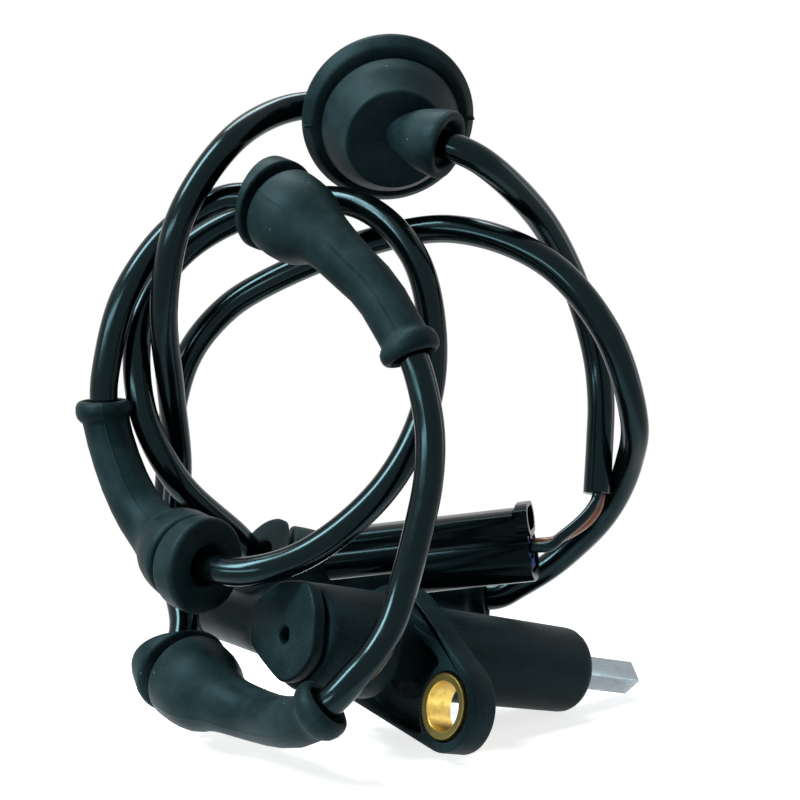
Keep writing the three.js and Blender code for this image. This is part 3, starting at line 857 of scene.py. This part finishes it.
FACE_LINE = (-0.3, 0.09)
RIM_LINE = (-11.2, -8.75)
mould_lines = [mould_line("line_disc", (-8.3, 8.3), FACE_LINE),
               mould_line("line_rim_a", (13.2, 15.3), RIM_LINE),
               mould_line("line_rim_b", (-15.3, -13.2), RIM_LINE)]
grommet = merge("grommet_visible", [cup, horn, *mould_lines])
finish(grommet, "boot_rubber", RUBBER, ["panel_grommet"])

# %% [markdown]
# Where the lead enters the stub, a short rubber sleeve keeps it from kinking. Its ribs repeat, so
# they come from Geometry Nodes: one ring mesh is instanced on a row of points, and the points are
# made from two named inputs, the number of ribs and their spacing.

# %% Strain relief with ribs from Geometry Nodes
def ring_of(name, radius, thick, segments=48, around=10):
    """A small torus about X, for instancing."""
    angles = [2 * math.pi * k / around for k in range(around)]
    profile = [(thick * math.cos(a), radius + thick * math.sin(a)) for a in angles]
    return turned(name, profile, Matrix.Identity(4), segments)


def node_tree(name, inputs):
    tree = bpy.data.node_groups.new(name, "GeometryNodeTree")
    for title, kind, value in inputs:
        socket = tree.interface.new_socket(title, in_out="INPUT", socket_type=kind)
        socket.default_value = value
    tree.interface.new_socket("Mesh", in_out="OUTPUT", socket_type="NodeSocketGeometry")
    return tree, tree.nodes.new("NodeGroupInput"), tree.nodes.new("NodeGroupOutput")


def repeat_piece(name, source, material, inputs, layout):
    """Instances source on the points that layout makes, and returns a plain mesh object."""
    tree, given, result = node_tree(name + "_layout", inputs)
    points, rotation = layout(tree, given)
    instance = tree.nodes.new("GeometryNodeInstanceOnPoints")
    picked = tree.nodes.new("GeometryNodeObjectInfo")
    picked.inputs["Object"].default_value = source
    real = tree.nodes.new("GeometryNodeRealizeInstances")
    coat = tree.nodes.new("GeometryNodeSetMaterial")
    coat.inputs["Material"].default_value = material
    tree.links.new(points, instance.inputs["Points"])
    tree.links.new(picked.outputs["Geometry"], instance.inputs["Instance"])
    if rotation is not None:
        tree.links.new(rotation, instance.inputs["Rotation"])
    tree.links.new(instance.outputs[0], real.inputs[0])
    tree.links.new(real.outputs[0], coat.inputs[0])
    tree.links.new(coat.outputs[0], result.inputs[0])
    holder = new_piece(name, [], [])
    modifier = holder.modifiers.new("layout", "NODES")
    modifier.node_group = tree
    apply_modifiers(holder)
    drop(source)
    return holder


def row_of_points(tree, given):
    line = tree.nodes.new("GeometryNodeMeshLine")
    offset = tree.nodes.new("ShaderNodeCombineXYZ")
    tree.links.new(given.outputs["Spacing"], offset.inputs["X"])
    tree.links.new(given.outputs["Count"], line.inputs["Count"])
    tree.links.new(offset.outputs[0], line.inputs["Offset"])
    return line.outputs[0], None


STUB_END_ARC = 14.78 * MM
ribs = repeat_piece(
    "relief_ribs", ring_of("rib", 3.95 * MM, 0.34 * MM), RUBBER,
    [("Count", "NodeSocketInt", 5), ("Spacing", "NodeSocketFloat", 1.35 * MM)], row_of_points)
for vertex in ribs.data.vertices:
    point, tangent, side, up = lead.at(STUB_END_ARC + 1.0 * MM + vertex.co.x)
    vertex.co = point + side * vertex.co.y + up * vertex.co.z
sleeve_profile = bored([(-6, 3.55), (0.3, 3.6), (0.5, 3.85), (6.9, 3.8), (7.3, 3.6), (7.5, 3.3)], BORE_R)
sleeve = threaded("sleeve", sleeve_profile, lead, STUB_END_ARC, 1, 48)
relief = finish(merge("strain_relief_visible", [sleeve, ribs]), "boot_rubber", RUBBER, ["strain_relief"])

# %% [markdown]
# The sensor's body is one moulding, but it is easiest to see as a few simple bodies that run into
# each other: a cap, a round head, a neck, an ear plate, a barrel and a stub. Each is made closed, its
# edges are rounded as the mould leaves them, and they are joined in one object.

# %% Sensor housing
BARREL_END = Vector((0.02365, -0.00422, 0.0072))
sensor_frame = Matrix.Translation(BARREL_END) @ Matrix.Rotation(math.radians(13.7), 4, "Y")
raised = sensor_frame @ Matrix.Translation((0, 0, 0.2 * MM))
CAP_POINTS = [
    (12, 0.9), (11.4, 3.1), (10.4, 4.4), (5.6, 8), (3.7, 8.7), (-2.6, 9.7), (-4.4, 9.2), (-6.6, 6.6),
    (-7.4, 5), (-8.6, -0.8), (-8.1, -2.8), (-6.3, -5.1), (-4.7, -6.4), (-2.1, -7.6), (0.2, -7.4),
    (8.4, -4.2), (10.2, -2.8),
]


def locator(name):
    """A round hole on the axis of the cap."""
    return turned(name, in_mm([(-66, 0), (-66, 1.45), (-58.2, 1.45), (-58, 0)]),
                  sensor_frame @ Matrix.Translation((0, 0.3 * MM, 0)), 32)


cap = plate("cap", smooth_outline(CAP_POINTS, 2), -64, -61.6, sensor_frame)
combine(cap, [locator("cap_hole")], "DIFFERENCE")
round_edges(cap, 0.6 * MM, 3, 40)
head = turned("head", in_mm([
    (-62.4, 0), (-62.4, 7.5), (-60.9, 7.5), (-60.75, 7.7), (-60.7, 8.2), (-60.4, 8.65), (-59.8, 8.95),
    (-59, 9.15), (-58, 9.2), (-47, 9.2), (-46.4, 9.1), (-45.9, 8.8), (-45.5, 8.3), (-45.25, 7.6),
    (-45.2, 6.5), (-45.2, 0)]), raised, 96)
combine(head, [locator("head_hole")], "DIFFERENCE")
neck = turned("neck", in_mm([(-46, 0), (-46, 5.3), (-35.5, 5.3), (-35.5, 0)]), sensor_frame, 64)

EAR_BACK, EAR_FRONT = -34.5, -39.5
BUSH_Y, BUSH_Z = -14.6, -6.8
ear_outline = wrap([(BUSH_Y, BUSH_Z, 7.7), (4.5, -0.4, 11.1), (12, -10.1, 1.1)], 144)
ear = plate("ear", ear_outline, EAR_FRONT, EAR_BACK, sensor_frame)
POCKET_FLOOR = EAR_FRONT + 3.2
UPPER_POCKET = [(-12.6, 2.4), (3.6, 6.2), (6.5, 8.2), (2.6, 9.9), (-0.8, 8.9)]
LOWER_POCKET = [(11.6, -10.3), (13.6, -3), (13.8, 2), (8, 5.7), (-12.2, 1), (-8.8, -2.6), (-7.8, -6.8),
                (-8.6, -10.6), (-10.6, -13.1)]
pockets = [plate(f"pocket_{i}", smooth_outline(corners, 2), EAR_FRONT - 1, POCKET_FLOOR, sensor_frame)
           for i, corners in enumerate((UPPER_POCKET, LOWER_POCKET))]
pockets.append(
    turned("bush_hole", in_mm([(-42, 0), (-42, 5.9), (-32, 5.9), (-32, 0)]),
           sensor_frame @ Matrix.Translation((0, BUSH_Y * MM, BUSH_Z * MM)), 96))
combine(ear, pockets, "DIFFERENCE")
round_edges(ear, 0.45 * MM, 3, 40)

barrel = turned("barrel", in_mm([
    (-36.3, 0), (-36.3, 8.2), (-34.5, 8.2), (-20, 8.05), (-2.2, 7.8), (-1.4, 7.72), (-0.7, 7.4),
    (-0.2, 6.9), (0, 6.2), (0, 3.35), (-0.15, 3.2), (-2.5, 3.2), (-2.5, 6.4), (-29, 6.4),
    (-29, 0)]), sensor_frame, 96)
stub_frame = (sensor_frame @ Matrix.Translation((-57.5 * MM, 0, -1 * MM))
              @ Matrix.Rotation(math.radians(90), 4, "Z"))
stub = turned("stub", in_mm([
    (2, 0), (2, 4.65), (30.5, 4.65), (30.9, 4.5), (31, 4.3), (31, 3.95), (30.8, 3.85), (24.7, 3.85),
    (24.7, 0)]), stub_frame, 64)
housing = merge("housing_visible", [cap, head, neck, ear, barrel, stub])
finish(housing, "housing_plastic", HOUSING, ["sensor_housing"])

# %% [markdown]
# A brass bush takes the bolt's clamping force, so the plastic ear is not crushed. Its bore is bright brass,
# and its outside and end face take a darker, rougher copy of it, whose darkness is painted shade, so it is
# made as two pieces. The outside is knurled to hold in the plastic. The knurl's teeth repeat round a circle:
# Geometry Nodes puts one small wedge on each point of a mesh circle and turns it outwards.

# %% Mounting bush
bush_frame = sensor_frame @ Matrix.Translation((0, BUSH_Y * MM, BUSH_Z * MM))
bush_body = turned("bush_body", in_mm([
    (-39.8, 4.25), (-39.8, 5.2), (-39.6, 5.3), (-34.6, 5.3), (-34.5, 5.2), (-34.5, 4.35), (-34.7, 4.15),
    (-39.7, 4.15)]), bush_frame, 96)
TOOTH = 0.5 * 5.3 * MM
tooth = new_piece("tooth", [
    (-TOOTH, -0.17 * MM, 0), (TOOTH, -0.17 * MM, 0), (TOOTH, 0.17 * MM, 0), (-TOOTH, 0.17 * MM, 0),
    (-TOOTH, 0, 0.3 * MM), (TOOTH, 0, 0.3 * MM)],
    [(0, 3, 2, 1), (0, 1, 5, 4), (2, 3, 4, 5), (1, 2, 5), (3, 0, 4)])


def circle_of_points(tree, given):
    circle = tree.nodes.new("GeometryNodeMeshCircle")
    tree.links.new(given.outputs["Teeth"], circle.inputs["Vertices"])
    tree.links.new(given.outputs["Radius"], circle.inputs["Radius"])
    stand = tree.nodes.new("GeometryNodeTransform")
    stand.inputs["Rotation"].default_value = (0, math.radians(90), 0)
    tree.links.new(circle.outputs[0], stand.inputs[0])
    place = tree.nodes.new("GeometryNodeInputPosition")
    face = tree.nodes.new("FunctionNodeAlignRotationToVector")
    face.axis = "Z"
    face.pivot_axis = "X"
    tree.links.new(place.outputs[0], face.inputs["Vector"])
    return stand.outputs[0], face.outputs[0]


knurl = repeat_piece(
    "bush_knurl", tooth, BRASS,
    [("Teeth", "NodeSocketInt", 60), ("Radius", "NodeSocketFloat", 5.38 * MM)], circle_of_points)
for vertex in knurl.data.vertices:
    vertex.co = bush_frame @ (vertex.co + Vector((-37.15 * MM, 0, 0)))
bush_face = turned("bush_face", in_mm([
    (-39.9, 4.35), (-39.9, 5.3), (-39.75, 5.45), (-34.65, 5.45), (-34.55, 5.35), (-34.55, 5.25),
    (-39.6, 5.25), (-39.75, 5.1), (-39.75, 4.35)]), bush_frame, 96)
finish(merge("bush_visible", [bush_body]), "bush_brass", BRASS, ["mounting_bush"], sharp=30)
# The end face and the knurl take the darker brass, which is painted shade.
finish(merge("bush_knurl_visible", [bush_face, knurl]), "bush_brass", SHADED_BRASS, sharp=30)

# %% [markdown]
# The pole pin is a square steel bar set on its edge, with its corners broken.

# %% Pole pin
HALF = 2.25
pin = plate("pole_pin_visible", [(-HALF, -HALF), (HALF, -HALF), (HALF, HALF), (-HALF, HALF)], -17.5, 16,
            sensor_frame @ Matrix.Rotation(math.radians(45), 4, "X"))
round_edges(pin, 0.22 * MM, 3, 40)
finish(pin, "pole_steel", STEEL, ["pole_pin"])

# %% [markdown]
# The plug's shell has two long rounded lobes with a valley between them, and a wider open end for the
# wires and their seals. Its nose is slimmer, where the mating plug slides over it.

# %% Connector shell
def lobe(name, circles, x0, x1):
    return plate(name, wrap(circles), x0, x1, plug_frame)


ways = []
for y in (-CAVITY_Y, CAVITY_Y):
    at = plug_frame @ Matrix.Translation((0, y * MM, CAVITY_Z * MM))
    ways.append(turned("way", in_mm([(9, 0), (9, 2.2), (22, 2.2), (22, 0)]), at, 48))
    ways.append(turned("way", in_mm([(-21, 0), (-21, 1.45), (9.5, 1.45), (9.5, 0)]), at, 32))
shell = lobe("shell", [(-0.9, -4.2, 4.6), (0.9, -4.2, 4.6)], -4, 18.5)
crest = lobe("crest", [(-1.3, 2, 2.4), (1.3, 2, 2.4), (-1.3, -2, 2.4), (1.3, -2, 2.4)], -18.5, 18.5)
nose = lobe("nose", [(-2.2, -1.4, 3), (2.2, -1.4, 3)], -18.5, -3)
lip = lobe("lip", [(-1.4, 2.3, 3), (1.4, 2.3, 3)], 16.7, 18.9)
combine(shell, [crest, nose, lip], "UNION")
slot_cut = plate("lock_slot", [(-3.4, -7), (3.4, -7), (3.4, -4.6), (-3.4, -4.6)], 8, 20.5, plug_frame)
lip_hollow = lobe("lip_hollow", [(-1.4, 2.5, 2.1), (1.4, 2.5, 2.1)], 16.1, 20.5)
combine(shell, ways + [slot_cut, lip_hollow], "DIFFERENCE")
round_edges(shell, 0.3 * MM, 2, 35)
shell.name = "connector_visible"
finish(shell, "plug_plastic", PLUG, ["connector_housing"], sharp=45)

seals = []
for i, y in enumerate((-CAVITY_Y, CAVITY_Y), 1):
    at = plug_frame @ Matrix.Translation((0, y * MM, CAVITY_Z * MM))
    profile = [(14, 1.0), (14, 1.7), (14.3, 2.1), (14.8, 2.1), (15.1, 1.75), (15.6, 1.75), (15.9, 2.1),
               (16.4, 2.1), (16.7, 1.75), (17.3, 1.75), (17.5, 2.1), (18, 2.1), (18.2, 1.9), (18.2, 1.0)]
    piece = turned(f"seal_{i}_visible", in_mm(profile), at, 40)
    seals.append(finish(piece, "seal_rubber", BLUE, [f"wire_seal_{i}"]))

# %% [markdown]
# The pieces inside the moulding keep their solids and only get finishes.

# %% Finishes on the inner solids
for node, material in {
        "magnet": MAGNET, "coil_bobbin": NYLON, "coil_winding": COPPER, "coil_terminal_1": BRASS,
        "coil_terminal_2": BRASS, "connector_terminal_1": BRASS, "connector_terminal_2": BRASS,
        "terminal_lock": LOCK}.items():
    mesh = frame["nodes"][node].data
    mesh.materials.clear()
    mesh.materials.append(material)

# %% [markdown]
# The lead and the two wires are declared as cords, with their real lengths and what sits on them.

# %% Cords
lead_exit = lead.at(STUB_END_ARC)[0]
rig.cord(jacket, exit=lead_exit, length=lead.length, diameter=0.005, far_end="plug", stiffness="stiff",
        lay="coiled", path=lead.points,
        with_pieces=[relief, *boots, grommet, shell, *seals, "connector_terminal_1", "connector_terminal_2",
                     "terminal_lock"])
for piece, run in wires:
    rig.cord(piece, exit=lead.points[-1], length=run.length, diameter=2 * WIRE_R, far_end="object",
            stiffness="medium", lay="loose", path=run.points)
print("cords declared:", 1 + len(wires))

# %% [markdown]
# The stage is a pale floor and a white world. The world and the floor show white to the camera and
# in reflections, and the floor keeps a soft shadow near the part. The lamps stay at a plain level, so
# a colour renders about as it is written.

# %% Stage
WHITE = (1, 1, 1, 1)
FLOOR_PAINT = (0.86, 0.86, 0.86, 1)
FLOOR_GLOW = 0.75
FADE_START, FADE_END = 0.05, 0.11
WORLD_ON_PART = 0.12


def shown_to(make, *rays):
    """1 for the named kinds of ray, 0 for the light that falls on the part."""
    kinds = [make.node("ShaderNodeLightPath", output=ray) for ray in rays]
    shown = kinds[0]
    for kind in kinds[1:]:
        shown = shown.sum("MAXIMUM", shown, kind)
    return shown


def stage_floor():
    """Near the part the floor takes its shadow, and farther out it fades into the white world."""
    floor_paint = bpy.data.materials.new("stage_floor")
    floor_paint.use_nodes = True
    tree = floor_paint.node_tree
    tree.nodes.remove(tree.nodes["Principled BSDF"])
    make = Nodes(tree)
    seen = shown_to(make, "Is Camera Ray", "Is Glossy Ray")
    lit = make.node("ShaderNodeBsdfDiffuse", None, {"Color": FLOOR_PAINT})
    glow = make.node("ShaderNodeEmission", None, {"Color": WHITE, "Strength": seen * FLOOR_GLOW})
    near = make.node("ShaderNodeAddShader", None, {0: lit, 1: glow})
    far = make.node("ShaderNodeEmission", None, {"Color": WHITE, "Strength": seen})
    place = make.node("ShaderNodeTexCoord", output="Object")
    distance = make.node("ShaderNodeVectorMath", {"operation": "LENGTH"}, {0: place}, "Value")
    fade = make.node("ShaderNodeMapRange", {"interpolation_type": "SMOOTHSTEP"},
                     {"Value": distance, "From Min": FADE_START, "From Max": FADE_END})
    both = make.node("ShaderNodeMixShader", None, {0: fade, 1: near, 2: far})
    tree.links.new(both.socket, tree.nodes["Material Output"].inputs["Surface"])
    return floor_paint


floor = new_piece("stage_floor", [(-3, -3, 0), (3, -3, 0), (3, 3, 0), (-3, 3, 0)], [(0, 1, 2, 3)])
floor.data.materials.append(stage_floor())
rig.stage(floor)

world = bpy.data.worlds.new("studio_world")
bpy.context.scene.world = world
world.use_nodes = True
surround = world.node_tree.nodes["Background"]
surround.inputs["Color"].default_value = WHITE
sky = Nodes(world.node_tree)
level = sky.node("ShaderNodeMapRange", None, {
    "Value": shown_to(sky, "Is Camera Ray", "Is Glossy Ray", "Is Transmission Ray"),
    "To Min": WORLD_ON_PART, "To Max": 1.0})
sky.tree.links.new(level.socket, surround.inputs["Strength"])
bpy.context.scene.view_settings.view_transform = "Standard"


# %% [markdown]
# Four soft boxes light the part: the main one above and to the left, a weak narrow one on the right,
# a low flat one on the left and one behind, whose edge gives the crisp line on the jacket.

# %% Lamps
COOL_WHITE = (0.85, 0.97, 1.0)


def soft_box(name, turn, rise, away, wide, high, power):
    data = bpy.data.lights.new(name, "AREA")
    data.shape = "RECTANGLE"
    data.size = wide
    data.size_y = high
    data.energy = power
    data.color = COOL_WHITE
    lamp = bpy.data.objects.new(name, data)
    turn, rise = math.radians(turn), math.radians(rise)
    side = Vector((math.sin(turn) * math.cos(rise), -math.cos(turn) * math.cos(rise), math.sin(rise)))
    lamp.location = AIM + side * away
    lamp.rotation_euler = side.to_track_quat("Z", "Y").to_euler()
    bpy.context.collection.objects.link(lamp)


soft_box("key_box", -102, 46, 0.7, 0.18, 0.4, 10.0)
soft_box("fill_box", 70, 12, 0.8, 0.10, 0.5, 0.6)
soft_box("low_box", -82, 7, 0.6, 0.4, 0.08, 1.8)
soft_box("top_box", 170, 66, 0.7, 0.4, 0.2, 4.0)

# %% Sizes and the end
with open("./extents.json", "w") as out:
    json.dump({"cad": [list(v) for v in cad_box], "scene": [list(v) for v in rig.bounds()]}, out)
print("size written")
